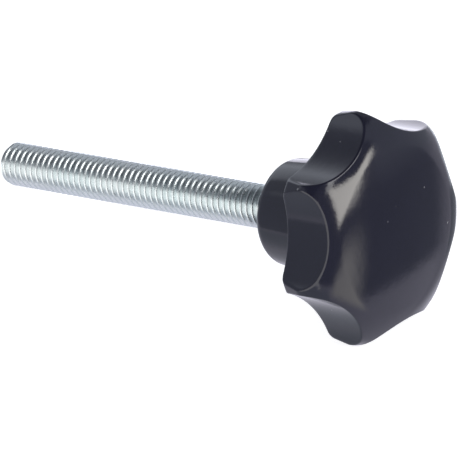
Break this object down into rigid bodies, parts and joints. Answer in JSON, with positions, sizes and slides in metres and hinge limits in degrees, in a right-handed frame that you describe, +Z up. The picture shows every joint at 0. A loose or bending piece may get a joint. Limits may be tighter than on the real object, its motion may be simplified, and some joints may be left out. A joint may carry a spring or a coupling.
{
  "type": "star knob screw",
  "caption": "Glossy black star knob with scalloped lobes, a domed crown and a tapered hub, moulded over the head of a bright zinc-plated threaded stud; it lies on its side.",
  "frame": {"origin": "centre of the hub's seat face, where the thread comes out of it", "axes": "+X along the floor from the thread's tip towards the crown, +Z up; the screw's own axis rises 10.44 degrees from +X towards +Z"},
  "size_m": [0.0698, 0.031, 0.0301],
  "materials": {
    "black_phenolic": "gloss",
    "zinc_steel": "bright zinc plate"
  },
  "bodies": {
    "root": {"star_knob": "black_phenolic", "threaded_stud": "zinc_steel"}
  },
  "joints": []
}
